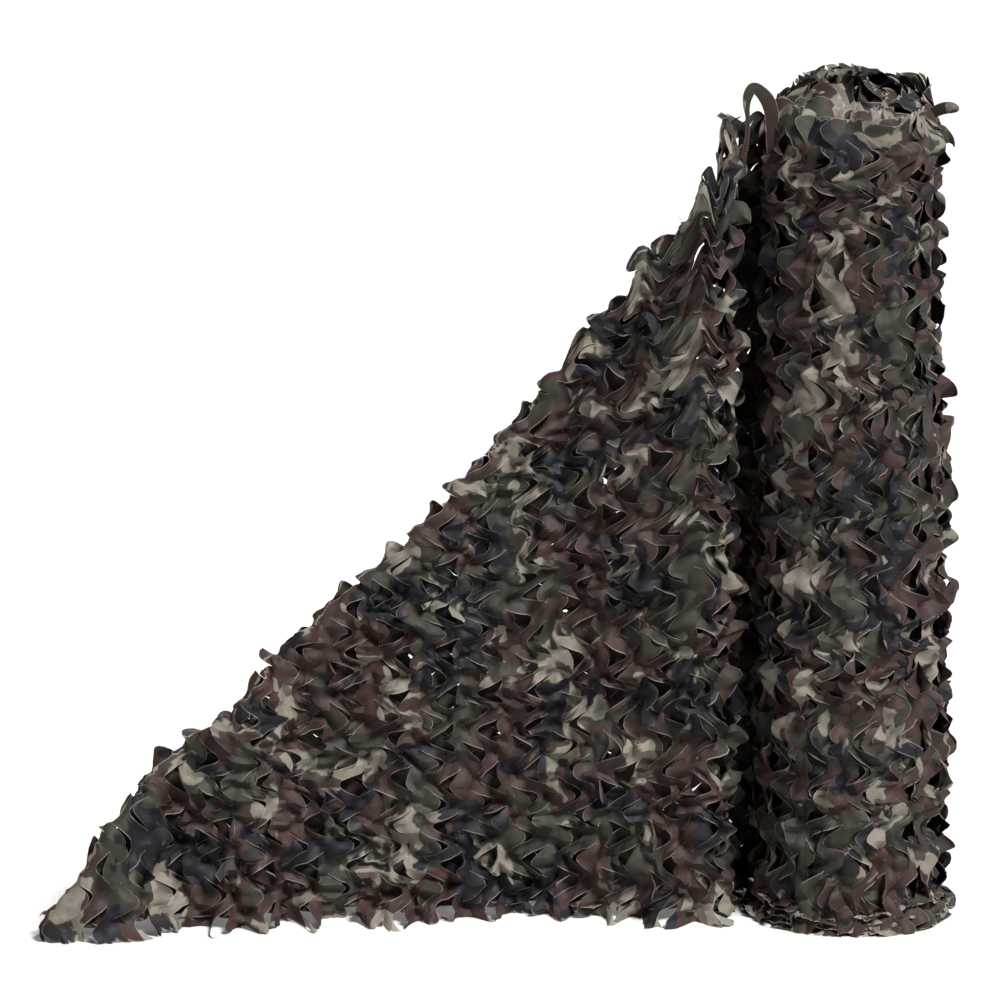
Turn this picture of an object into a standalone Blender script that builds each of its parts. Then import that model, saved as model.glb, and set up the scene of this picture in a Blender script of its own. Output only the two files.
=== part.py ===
# A camouflage net of leaf-cut cloth, one long strip. Most of it stands wound up as an upright roll. Its loose
# end is drawn out to the left and stands on its lower edge, with the top corner folded down behind it.
# Metres. +Z is up, and the net is seen from -Y, with the roll at the right.

import math

import bmesh
import bpy
import numpy as np
from mathutils.geometry import delaunay_2d_cdt

# The cloth.
NET_WIDTH = 1.500                 # selvedge to selvedge, which is the height of the roll
SHEET_THICKNESS = 0.002
SEAT_GAP = 0.0003                 # between the roll and the loose end that lies against it
SEED = 7                          # for the lift of each leaf

# The leaf cuts: rows of slits like > and <, half a row apart, opened by the pull along the net.
LEAF_ROWS = 16                    # repeats up the cloth
LEAF_ROW_PITCH = NET_WIDTH / LEAF_ROWS
LEAF_COLUMN_PITCH = 0.082         # repeats along the cloth
LEAF_LIFT_LEAST = 0.004           # how far a leaf's tip stands off the cloth
LEAF_LIFT_MOST = 0.016
GAP_SINK = 0.003                  # how far the cloth draws back beyond a leaf's tip
SELVEDGE_MARGIN = 0.008           # cloth left uncut along each selvedge

# An opened slit that points along +u, from the middle of its outer side (metres); a leaf fills its inside.
GAP_OUTLINE = (
    # name         u        v       share of the leaf's lift   share of the sink
    ("upper end", -0.033,  0.0325, 0.15, 0.0),
    ("outer",      0.000,  0.0000, 0.00, 1.0),
    ("lower end", -0.033, -0.0325, 0.15, 0.0),
    ("tip lower", -0.015, -0.0080, 1.00, 0.0),
    ("tip upper", -0.015,  0.0080, 1.00, 0.0),
)

# The roll.
ROLL_RADIUS = 0.163               # where the outer turn lies plain
ROLL_SEGMENTS = 52
ROLL_LEAF_LIFT = 0.009            # leaf tips above the plain turn
ROLL_LEAF_SINK = 0.004            # cloth beyond each tip
ROLL_LEAF_COLUMNS = 12
FOOT_FLARE = 0.006                # the edges of the turns spread at the foot
FOOT_FLARE_HEIGHT = 0.070
OUT_OF_ROUND = 0.0030
TURN_PITCH = 0.030                # main turns that show at the top end
TURN_RINGS = 11
TURN_DEPTH = 0.007
TURN_UNEVEN = 0.35                # rise and fall of the turns' edges, as a share of that depth
CORE_RADIUS = 0.010
SEAT_ANGLE = math.radians(112.0)  # where the loose end leaves the roll, counted from +X
SEAT_CLEAR = math.radians(40.0)   # the roll stays plain this far round, under the cloth that leaves it
SEAT_CLEAR_BEHIND = math.radians(12.0)

# The line on the floor of the loose end, from the roll's middle: the recess beside the roll, the upright
# crease and the wavy length out to the tip.
FLOOR_LINE = (
    # x       y
    (-0.150,  0.116),
    (-0.206,  0.086),
    (-0.224,  0.040),
    (-0.214, -0.020),
    (-0.224, -0.072),
    (-0.262, -0.098),
    (-0.340, -0.088),
    (-0.460, -0.056),
    (-0.600, -0.048),
    (-0.740, -0.084),
    (-0.860, -0.080),
    (-0.980, -0.094),
    (-1.080, -0.138),
    (-1.190, -0.122),
    (-1.310, -0.200),
    (-1.440, -0.222),
)
FLOOR_LINE_STEPS = 12             # smooth steps between two rows above

# The fold that runs from the top of the crease down to the tip, and the corner folded behind it.
CREASE_ROW = 5                    # row of FLOOR_LINE where the fold starts
FOLD_RADIUS = 0.018
FOLD_FACETS = 3
FOLD_STEP = 0.048
FOLD_RUFFLE = 0.006
CORNER_TRIM = 0.085               # the folded corner stops this far short of the crease
EDGE_MARGIN = 0.010               # plain cloth beside the fold
RECESS_SHY = 0.050                # gaps are cut from just inside the recess outward
TOP_SAG = 0.090                   # the selvedge drops this much as it leaves the roll
TOP_SAG_LENGTH = 0.100

# How far the folded edge lies under a straight line, from its top (0) to the tip (1).
FOLD_SAG = (
    # share  drop
    (0.00,  0.000),
    (0.04,  0.016),
    (0.08,  0.066),
    (0.14,  0.086),
    (0.21,  0.106),
    (0.30,  0.148),
    (0.40,  0.148),
    (0.50,  0.120),
    (0.60,  0.088),
    (0.69,  0.066),
    (0.75,  0.034),
    (0.82,  0.010),
    (0.90, -0.020),
    (0.95,  0.004),
    (1.00,  0.000),
)

FOLD_SAG_LEAST_HEIGHT = 0.120     # nearer the floor the drop fades out

ROLL_COLOUR = (0.040, 0.034, 0.028, 1.0)
LOOSE_END_COLOUR = (0.046, 0.038, 0.030, 1.0)
CLOTH_ROUGHNESS = 0.62


def smoothstep(share):
    # 0 to 1 with level ends.
    share = np.clip(share, 0.0, 1.0)
    return share * share * (3.0 - 2.0 * share)


def smooth_line(knots, steps):
    # A Catmull-Rom curve through the knots.
    knots = np.asarray(knots, dtype=float)
    padded = np.vstack([2 * knots[0] - knots[1], knots, 2 * knots[-1] - knots[-2]])
    t = np.linspace(0.0, 1.0, steps, endpoint=False)[:, None]
    runs = []
    for row in range(len(knots) - 1):
        before, start, end, after = padded[row:row + 4]
        runs.append(0.5 * (2 * start + (end - before) * t + (2 * before - 5 * start + 4 * end - after) * t**2
                           + (3 * start - before - 3 * end + after) * t**3))
    return np.vstack(runs + [knots[-1:]])


class FloorLine:
    # The line of the loose end on the floor: straight off the roll's seat, then through FLOOR_LINE.

    def __init__(self):
        half_facet = math.pi / ROLL_SEGMENTS
        seat_distance = ROLL_RADIUS * math.cos(half_facet) + SEAT_GAP + SHEET_THICKNESS / 2
        outward = np.array([math.cos(SEAT_ANGLE), math.sin(SEAT_ANGLE)])
        along = np.array([-outward[1], outward[0]])
        facet = ROLL_RADIUS * math.sin(half_facet)
        start = seat_distance * outward - facet * along
        straight = start + np.linspace(0.0, 3.0 * facet, 4)[:, None] * along
        curve = smooth_line(np.vstack([straight[-1:], np.array(FLOOR_LINE)]), FLOOR_LINE_STEPS)
        self.points = np.vstack([straight[:-1], curve])
        self.lengths = np.r_[0.0, np.cumsum(np.linalg.norm(np.diff(self.points, axis=0), axis=1))]
        self.end = self.lengths[-1]
        row_lengths = self.lengths[len(straight) - 1::FLOOR_LINE_STEPS]
        self.crease = row_lengths[CREASE_ROW]
        tangents = np.gradient(self.points, self.lengths, axis=0)
        self.tangents = tangents / np.linalg.norm(tangents, axis=1)[:, None]

    def read(self, length):
        # The point at this length, and the unit vector there that points behind the cloth.
        over = np.maximum(length - self.end, 0.0)
        point = np.stack([np.interp(length, self.lengths, values) for values in self.points.T], axis=-1)
        tangent = np.stack([np.interp(length, self.lengths, values) for values in self.tangents.T], axis=-1)
        tangent /= np.linalg.norm(tangent, axis=-1, keepdims=True)
        point = point + over[..., None] * tangent
        return point, np.stack([tangent[..., 1], -tangent[..., 0]], axis=-1)


class LooseEnd:
    # Maps the flat cloth (u along it from the roll, v up it) to its place in space.

    def __init__(self):
        self.floor = FloorLine()
        self.top = np.array([self.floor.crease, NET_WIDTH])
        self.tip = np.array([self.floor.end, 0.0])
        self.fold_length = np.linalg.norm(self.top - self.tip)
        self.up_fold = (self.top - self.tip) / self.fold_length
        self.over_fold = np.array([self.up_fold[1], -self.up_fold[0]])
        self.turn = math.pi * FOLD_RADIUS

    def past_fold(self, flat):
        return (flat - self.tip) @ self.over_fold

    def mirror(self, flat):
        # The flat point that the fold brings onto this one, seen from the front.
        past = self.past_fold(flat)
        return flat + (self.turn - 2 * past)[..., None] * self.over_fold

    def outline(self):
        # The flat outline: the upright panel and, past the fold, the corner with its hidden side trimmed.
        trim = self.floor.crease + CORNER_TRIM
        share = (self.floor.end - trim) / (self.floor.end - self.floor.crease)
        trim_top = self.tip + share * (self.top - self.tip)
        trim_down = trim_top - np.array([0.0, 1.0])
        first = self.mirror(trim_top[None])[0]
        second = self.mirror(trim_down[None])[0]
        reach = (self.floor.end - first[0]) / (second[0] - first[0])
        corner = first + reach * (second - first)
        return [np.zeros(2), self.tip, corner, first, trim_top, self.top, np.array([0.0, NET_WIDTH])]

    def place(self, flat):
        # The cloth's middle and its front-facing unit normal.
        past = self.past_fold(flat)
        angle = np.clip(past, 0.0, self.turn) / FOLD_RADIUS
        rise = np.where(past < self.turn, FOLD_RADIUS * np.sin(angle), self.turn - past)
        rise = np.where(past < 0.0, past, rise)
        behind = FOLD_RADIUS * (1.0 - np.cos(angle))
        folded = flat + (rise - past)[..., None] * self.over_fold
        length = folded[..., 0]
        height = folded[..., 1]
        fold_height = (self.floor.end - length) / (self.floor.end - self.floor.crease) * NET_WIDTH
        share = 1.0 - fold_height / NET_WIDTH
        table = np.array(FOLD_SAG)
        drop = np.interp(share, table[:, 0], table[:, 1])
        height = height * (1.0 - drop / np.maximum(fold_height, FOLD_SAG_LEAST_HEIGHT))
        sag = TOP_SAG * smoothstep(length / TOP_SAG_LENGTH)
        height = height - sag * np.clip(height / NET_WIDTH, 0.0, 1.0)**4
        point, back = self.floor.read(length)
        middle = np.concatenate([point + behind[..., None] * back, height[..., None]], axis=-1)
        lean = np.sin(angle)[..., None] * self.over_fold
        along = np.stack([-back[..., 1], back[..., 0]], axis=-1)
        level = lean[..., :1] * along - np.cos(angle)[..., None] * back
        normal = np.concatenate([level, lean[..., 1:]], axis=-1)
        return middle, normal / np.linalg.norm(normal, axis=-1, keepdims=True)


def leaf_slits(length, height, column_pitch, margin):
    # Middle and facing of each slit in a flat piece: > on the row lines and < half a row above them.
    slits = []
    for column in range(int(length / column_pitch) + 1):
        for row in range(2 * LEAF_ROWS):
            facing = 1.0 if row % 2 == 0 else -1.0
            u = (column + 0.5) * column_pitch
            v = (row + 0.5) * LEAF_ROW_PITCH / 2
            half_tall = GAP_OUTLINE[0][2]
            if margin < u < length - margin and half_tall * 0.5 < v < height - half_tall * 0.5:
                slits.append((u, v, facing))
    return slits


def slit_points(slit):
    # The slit's corners; a slit at a selvedge is shortened to stay just inside it.
    u, v, facing = slit
    half_tall = GAP_OUTLINE[0][2]
    below = min(1.0, (v - SELVEDGE_MARGIN) / half_tall)
    above = min(1.0, (NET_WIDTH - SELVEDGE_MARGIN - v) / half_tall)
    corners = []
    for _, along, up, _, _ in GAP_OUTLINE:
        corners.append((u + facing * along, v + up * (above if up > 0 else below)))
    return np.array(corners)


def inside(points, polygon):
    # Even-odd test of each point.
    points = np.asarray(points)
    result = np.zeros(len(points), dtype=bool)
    ends = np.roll(polygon, -1, axis=0)
    for (u0, v0), (u1, v1) in zip(polygon, ends):
        crosses = (v0 > points[:, 1]) != (v1 > points[:, 1])
        if v0 != v1:
            result ^= crosses & (points[:, 0] < (u1 - u0) * (points[:, 1] - v0) / (v1 - v0) + u0)
    return result


def divide(start, end, step):
    # Points from start towards end, at about this step, without the end itself.
    count = max(1, round(np.linalg.norm(end - start) / step))
    return [start + (end - start) * k / count for k in range(count)]


def triangulate(points, edges, outline, holes):
    # Delaunay triangles that keep the edges, inside the outline and outside the holes.
    result = delaunay_2d_cdt([tuple(p) for p in points], edges, [], 0, 1e-7)
    flat = np.array([tuple(v) for v in result[0]])
    triangles = np.array(result[2])
    middles = flat[triangles].mean(axis=1)
    keep = inside(middles, outline)
    for hole in holes:
        near = np.abs(middles - hole.mean(axis=0)).max(axis=1) < 0.05
        keep[near] &= ~inside(middles[near], hole)
    triangles = triangles[keep]
    corners = flat[triangles]
    sides = corners[:, 1:] - corners[:, :1]
    turned = sides[:, 0, 0] * sides[:, 1, 1] - sides[:, 0, 1] * sides[:, 1, 0] < 0
    triangles[turned] = triangles[turned][:, ::-1]
    return flat, triangles, result[3]


def boundary_edges(triangles):
    # Edges with a triangle on one side only, in that triangle's direction.
    edges = np.vstack([triangles[:, (0, 1)], triangles[:, (1, 2)], triangles[:, (2, 0)]])
    known = set(map(tuple, edges))
    return np.array([edge for edge in map(tuple, edges) if (edge[1], edge[0]) not in known])


def cloth_material(name, colour):
    material = bpy.data.materials.new(name)
    material.use_nodes = True
    shader = material.node_tree.nodes["Principled BSDF"]
    shader.inputs["Base Color"].default_value = colour
    shader.inputs["Roughness"].default_value = CLOTH_ROUGHNESS
    shader.inputs["Metallic"].default_value = 0.0
    return material


def solid_object(name, vertices, faces, colour):
    # One closed mesh object, its doubled seam points merged and its faces turned outward.
    mesh = bpy.data.meshes.new(name)
    mesh.from_pydata([tuple(v) for v in vertices], [], [tuple(int(i) for i in f) for f in faces])
    work = bmesh.new()
    work.from_mesh(mesh)
    bmesh.ops.remove_doubles(work, verts=work.verts, dist=1e-5)
    bmesh.ops.recalc_face_normals(work, faces=work.faces)
    work.to_mesh(mesh)
    work.free()
    mesh.materials.append(cloth_material(name + " cloth", colour))
    part = bpy.data.objects.new(name, mesh)
    bpy.context.scene.collection.objects.link(part)
    return part


def make_loose_end(random):
    # The sheet: gaps through the upright panel, a plain turn over the fold, and the corner raised but uncut.
    cloth = LooseEnd()
    outline = cloth.outline()
    points = []
    heights = []
    edges = []

    def add(new_points, new_heights, closed):
        first = len(points)
        points.extend(np.asarray(new_points))
        heights.extend(new_heights)
        count = len(new_points)
        edges.extend((first + k, first + (k + 1) % count) for k in range(count if closed else count - 1))

    border = []
    for start, end in zip(outline, outline[1:] + outline[:1]):
        border += divide(start, end, FOLD_STEP)
    add(border, [0.0] * len(border), True)

    fold_start = cloth.tip
    fold_end = outline[4]
    along_end_edge = cloth.over_fold - cloth.up_fold * cloth.over_fold[0] / cloth.up_fold[0]
    for facet in range(FOLD_FACETS + 1):
        past = cloth.turn * facet / FOLD_FACETS
        start = fold_start + past * along_end_edge
        end = fold_end + past * cloth.over_fold
        row = divide(start, end, FOLD_STEP)[1:]
        ruffle = FOLD_RUFFLE if 0 < facet < FOLD_FACETS else 0.0
        add(row, [ruffle * (1 if (k + facet) % 2 else -1) for k in range(len(row))], False)

    holes = []
    reach = outline[2][0]
    for slit in leaf_slits(reach, NET_WIDTH, LEAF_COLUMN_PITCH, 0.03):
        corners = slit_points(slit)
        past = cloth.past_fold(corners)
        lift = random.uniform(LEAF_LIFT_LEAST, LEAF_LIFT_MOST)
        fade = smoothstep((slit[0] - 0.06) / 0.10)
        levels = [fade * (lift * row[3] - GAP_SINK * row[4]) for row in GAP_OUTLINE]
        tip = corners[3:].mean(axis=0)
        on_the_fold = -EDGE_MARGIN < past.max() < cloth.turn + EDGE_MARGIN
        if on_the_fold or not inside(corners, np.array(outline)).all():
            continue
        if past.max() > 0:
            add([corners[0], tip, corners[2]], [0.0, lift, 0.0], False)
        elif slit[0] < cloth.floor.crease - RECESS_SHY:
            add([tip, corners[1]], [fade * lift, -fade * GAP_SINK], False)
        else:
            add(corners, levels, True)
            holes.append(corners)

    flat, triangles, sources = triangulate(points, edges, np.array(outline), holes)
    level = np.array([heights[source[0]] if source else 0.0 for source in sources])
    middle, normal = cloth.place(flat)
    middle = middle + level[:, None] * normal
    offset = normal * SHEET_THICKNESS / 2
    count = len(flat)
    start, end = boundary_edges(triangles).T
    walls = np.vstack([np.c_[end, start, start + count], np.c_[end, start + count, end + count]])
    faces = np.vstack([triangles, triangles[:, ::-1] + count, walls])
    return solid_object("loose_end", np.vstack([middle + offset, middle - offset]), faces, LOOSE_END_COLOUR)


def roll_radius(angle, height):
    # The plain turn, a little out of round and flared at the foot, but true at the seat.
    from_seat = (angle - SEAT_ANGLE + math.pi) % (2 * math.pi) - math.pi
    clear = np.where(from_seat > 0, SEAT_CLEAR, SEAT_CLEAR_BEHIND)
    free = smoothstep((np.abs(from_seat) / clear - 0.35) / 0.65)
    uneven = OUT_OF_ROUND * (np.sin(2 * angle + 0.8 + height) + 0.6 * np.sin(3 * angle - 2.6 * height))
    flare = FOOT_FLARE * smoothstep(1.0 - height / FOOT_FLARE_HEIGHT)
    return ROLL_RADIUS + free * (uneven + flare), free


def make_roll(random):
    # One solid: a side with raised leaves, a top end with the main turns, and a flat foot.
    facet = 2 * math.pi / ROLL_SEGMENTS
    start_angle = SEAT_ANGLE + facet / 2
    angles = start_angle + facet * np.arange(ROLL_SEGMENTS + 1)
    length = 2 * math.pi * ROLL_RADIUS
    facet_length = length / ROLL_SEGMENTS
    rows = LEAF_ROWS * 2

    points = []
    levels = []
    edges = []
    for k in range(ROLL_SEGMENTS):
        points += [(k * facet_length, 0.0), (k * facet_length, NET_WIDTH)]
    points += [(length, 0.0), (length, NET_WIDTH)]
    for row in range(1, rows):
        v = row * NET_WIDTH / rows
        points += [(0.0, v), (length - facet_length, v), (length, v)]
    levels += [0.0] * len(points)

    column_pitch = (length - facet_length) / ROLL_LEAF_COLUMNS
    for slit in leaf_slits(length - facet_length, NET_WIDTH, column_pitch, 0.03):
        corners = slit_points(slit)
        lift = ROLL_LEAF_LIFT * random.uniform(0.5, 1.0)
        first = len(points)
        points += [corners[0], corners[3:].mean(axis=0), corners[2], corners[1]]
        levels += [0.1 * lift, lift, 0.1 * lift, -ROLL_LEAF_SINK]
        edges += [(first, first + 1), (first + 1, first + 2), (first, first + 3), (first + 3, first + 2)]

    box = np.array([(0.0, 0.0), (length, 0.0), (length, NET_WIDTH), (0.0, NET_WIDTH)])
    flat, triangles, sources = triangulate(points, edges, box, [])
    level = np.array([levels[source[0]] if source else 0.0 for source in sources])
    angle = start_angle + flat[:, 0] / ROLL_RADIUS
    radius, free = roll_radius(angle, flat[:, 1])
    radius = radius + free * level
    side = np.stack([radius * np.cos(angle), radius * np.sin(angle), flat[:, 1]], axis=1)

    faces = [tuple(t) for t in triangles]
    vertices = [tuple(v) for v in side]

    # The top end: a spiral ridge and groove that runs in to the core.
    ring_rows = []
    rim_radius, _ = roll_radius(angles[:-1], np.full(ROLL_SEGMENTS, NET_WIDTH))
    for ring in range(TURN_RINGS + 1):
        share = ring / TURN_RINGS
        radius = rim_radius + (CORE_RADIUS - rim_radius) * share
        wave = 0.5 - 0.5 * np.cos(2 * math.pi * (rim_radius - radius) / TURN_PITCH + angles[:-1])
        depth = TURN_DEPTH if ring else 0.0
        height = NET_WIDTH - depth * (wave + TURN_UNEVEN * np.sin(3 * angles[:-1] + 5 * share))
        ring_rows.append(len(vertices) + np.arange(ROLL_SEGMENTS))
        vertices += list(zip(radius * np.cos(angles[:-1]), radius * np.sin(angles[:-1]), height))
    for outer, inner in zip(ring_rows, ring_rows[1:]):
        for k in range(ROLL_SEGMENTS):
            n = (k + 1) % ROLL_SEGMENTS
            faces += [(outer[k], outer[n], inner[n]), (outer[k], inner[n], inner[k])]
    faces.append(tuple(ring_rows[-1]))

    # The foot: one flat face.
    floor = np.zeros(ROLL_SEGMENTS)
    foot_radius, _ = roll_radius(angles[:-1], floor)
    first = len(vertices)
    vertices += list(zip(foot_radius * np.cos(angles[:-1]), foot_radius * np.sin(angles[:-1]), floor))
    faces.append(tuple(range(first + ROLL_SEGMENTS - 1, first - 1, -1)))
    return solid_object("roll", vertices, faces, ROLL_COLOUR)


def stand_on_origin(parts):
    # Moves the meshes so that the origin is at the middle of the net's footprint.
    corners = np.array([tuple(v.co) for part in parts for v in part.data.vertices])
    middle = (corners.min(axis=0) + corners.max(axis=0)) / 2
    for part in parts:
        for vertex in part.data.vertices:
            vertex.co.x -= middle[0]
            vertex.co.y -= middle[1]


def main():
    for old in list(bpy.data.objects):
        bpy.data.objects.remove(old)
    random = np.random.default_rng(SEED)
    roll = make_roll(random)
    loose_end = make_loose_end(random)
    stand_on_origin([roll, loose_end])


main()
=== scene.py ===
import math
import bpy
import numpy as np
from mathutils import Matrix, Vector


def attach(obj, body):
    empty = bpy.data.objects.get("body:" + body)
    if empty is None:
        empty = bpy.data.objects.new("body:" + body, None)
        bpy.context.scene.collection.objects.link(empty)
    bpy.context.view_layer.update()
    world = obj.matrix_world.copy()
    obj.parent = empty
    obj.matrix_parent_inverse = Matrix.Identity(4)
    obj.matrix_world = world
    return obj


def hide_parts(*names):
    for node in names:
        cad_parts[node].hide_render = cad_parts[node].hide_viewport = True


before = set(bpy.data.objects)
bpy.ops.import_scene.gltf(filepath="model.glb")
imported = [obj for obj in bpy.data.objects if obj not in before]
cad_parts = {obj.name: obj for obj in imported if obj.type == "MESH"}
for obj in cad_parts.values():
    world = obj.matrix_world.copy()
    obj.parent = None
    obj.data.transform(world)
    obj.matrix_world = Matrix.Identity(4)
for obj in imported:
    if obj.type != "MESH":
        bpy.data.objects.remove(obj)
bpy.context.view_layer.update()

# A leaf-cut camouflage net. The cloth is one flat strip, u metres along it (0 where it leaves the roll, plus
# towards the tip of the loose end, minus into the roll) and v metres up it. Every piece takes its part of the
# same flat strip, raises its leaves and lays it on the roll or on the loose end's folds.

strip = {
    "width": 1.500,              # selvedge to selvedge
    "columnPitch": 0.082,        # leaf cuts repeat along the strip
    "rowPitch": 1.500 / 16,      # and up it, with > and < half a repeat apart
    "slitDepth": 0.033,
    "cornerRound": 0.40,         # 0 would be a sharp chevron
    "rowsInRepeat": 18,
    "leafRows": 6,               # half a slit's height, in those rows
    "leafSteps": 6,
    "latticeColumns": 6,
    "edgeColumns": 2,
    "seed": 23,
}

roll = {
    "centre": (0.63298, 0.02629),
    "radius": 0.163,
    "segments": 52,              # flat sides of the solid, one of which is the seat
    "seatAngle": math.radians(112.0),
    "clothOut": 0.0013,          # the cloth's middle lies this far out of the solid's corners
    "turnGap": 0.010,            # from one turn of cloth to the next
    "leastRadius": 0.012,
    "leastDistance": 0.004,
    "outOfRound": 0.0030,
    "roundNearSeat": (0.70, 0.25),           # radians on either side of the seat
    "leafReach": 0.023,          # leaves press flat past this
    "sideReach": 0.012,          # and this much further out at the right side
    "footHeight": 0.055,
    "footSpread": 0.016,
    "footBackShare": 0.2,        # of that spread, at the back
    "topDrop": 0.045,            # the top is lower on the near side, and the near shoulder rounder
    "topDropHeight": 0.250,
    "leanBend": 0.030,           # a lean comes in over this length of cloth
    "leanSteps": 8,
    "nearLean": math.radians(48.0),
    "nearLeanHeight": 0.040,
    "topNarrow": 0.032,          # the right side draws in above narrowFrom and half out again above widenFrom
    "narrowFrom": 0.75,
    "narrowHeight": 0.50,
    "widenFrom": 1.32,
    "widenHeight": 0.14,
    "dome": 0.034,               # the inner turns stand this much higher
}

looseEnd = {
    "floorLine": (               # x and y from the roll's middle
        (-0.150, 0.116), (-0.206, 0.086), (-0.224, 0.040), (-0.214, -0.020), (-0.224, -0.072),
        (-0.262, -0.098), (-0.340, -0.088), (-0.460, -0.056), (-0.600, -0.048), (-0.740, -0.084),
        (-0.860, -0.080), (-0.980, -0.094), (-1.080, -0.138), (-1.190, -0.122), (-1.310, -0.200),
        (-1.440, -0.222),
    ),
    "lineSteps": 12,
    "creaseRow": 5,
    "foldRadius": 0.018,
    "cornerTrim": 0.085,         # the corner behind ends this far short of the crease
    "foldKept": 0.004,           # cloth up to this far past the fold always stays
    "topSag": 0.090,
    "topSagLength": 0.100,
    "foldSag": (                 # share of the way down the fold, drop under a straight line
        (-0.10, 0.000), (0.00, 0.052), (0.02, 0.036), (0.04, 0.016), (0.08, 0.072), (0.14, 0.114),
        (0.21, 0.126), (0.30, 0.156), (0.40, 0.150), (0.50, 0.120), (0.60, 0.088), (0.69, 0.066),
        (0.75, 0.034), (0.82, 0.010), (0.90, -0.020), (0.95, 0.004), (1.00, 0.000),
    ),
    "sagLeastHeight": 0.120,
    "topWave": 0.30,             # share by which the top's sag varies
    "leafReach": (0.014, 0.045),             # at the tip, and from reachLength further in
    "reachLength": 0.30,
    "hemHeight": 0.060,          # the lowest leaves spread forward over the floor, here and there
    "hemSpread": 0.050,
    "hemFromTip": 0.35,          # and less near the tip and near the roll
    "hemFromRoll": 0.20,
    "hemRollShare": 0.30,
    "hemRollLength": (0.35, 0.25),
    "rollStrength": (0.25, 0.04, 0.10),      # leaves are flat beside the roll: share, from, over this length
    "tipStrength": (0.20, 0.40, 0.25),       # and flatter towards the tip: less by, from, over
    "foldCalm": 0.42,            # leaves along the fold lie this much flatter
    "foldCalmWidth": (0.080, 0.050),         # out to this far from it, coming in over the second
    "layerStrength": 0.38,       # the second layer, behind the panel
    "layerBack": (0.004, 0.017, 0.05, 0.10),         # and how far: at the roll, more by, from, over
}


def smoothStep(x):
    # 3x^2 - 2x^3 between 0 and 1.
    x = np.clip(x, 0.0, 1.0)
    return x * x * (3.0 - 2.0 * x)


def gridFaces(rows, columns, first=0):
    # The quads of a grid of rows x columns points, numbered row by row.
    corner = first + np.arange(rows - 1)[:, None] * columns + np.arange(columns - 1)[None]
    return np.stack([corner, corner + 1, corner + columns + 1, corner + columns], axis=-1).reshape(-1, 4)


# ---- the flat strip with its leaf cuts


def halfRepeat():
    # One slit and its half of the repeat, from the slit's apex: the leaf is a fan between the chord at
    # a = -depth and the rounded chevron a = -depth (sqrt(s^2 + e^2) - e) / (sqrt(1 + e^2) - e), b = height s.
    # The lattice fills the band above it up to the next leaf, and a plain edge runs on to the next column.
    depth = strip["slitDepth"]
    rowStep = strip["rowPitch"] / strip["rowsInRepeat"]
    half = strip["leafRows"]
    height = half * rowStep
    bluntness = strip["cornerRound"]

    def chevron(s):
        rounded = np.sqrt(s * s + bluntness**2) - bluntness
        return -depth * rounded / (math.sqrt(1 + bluntness**2) - bluntness)

    s = np.linspace(-1.0, 1.0, 2 * half + 1)[:, None]
    t = np.linspace(0.0, 1.0, strip["leafSteps"] + 1)[None]
    across = (chevron(s) + depth) * t
    loose = (t > 0) & (abs(s) < 0.999)
    leaf = np.stack([across - depth, height * s + 0 * t, loose, s + 0 * t, across], axis=-1)

    latticeRows = strip["rowsInRepeat"] - 2 * half
    s = np.linspace(1.0, 0.0, strip["latticeColumns"] + 1)[:, None]
    w = np.linspace(0.0, 1.0, latticeRows + 1)[None]
    b = height * s * (1 - w) + (strip["rowPitch"] - height * s) * w
    zero = 0 * b
    lattice = np.stack([chevron(s) + zero, b, zero, zero, zero], axis=-1)

    a = np.linspace(-strip["columnPitch"] / 2, -depth, strip["edgeColumns"] + 1)[:, None]
    b = rowStep * np.arange(-half, strip["rowsInRepeat"] - half + 1)[None]
    zero = 0 * a + 0 * b
    edge = np.stack([a + zero, b + zero, zero, zero, zero], axis=-1)

    points = []
    faces = []
    for grid, turned in ((leaf, True), (lattice, False), (edge, False)):
        first = sum(len(p) for p in points)
        quads = gridFaces(grid.shape[0], grid.shape[1], first)
        faces.append(quads[:, ::-1] if turned else quads)
        points.append(grid.reshape(-1, 5))
    return np.vstack(points), np.vstack(faces)


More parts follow.
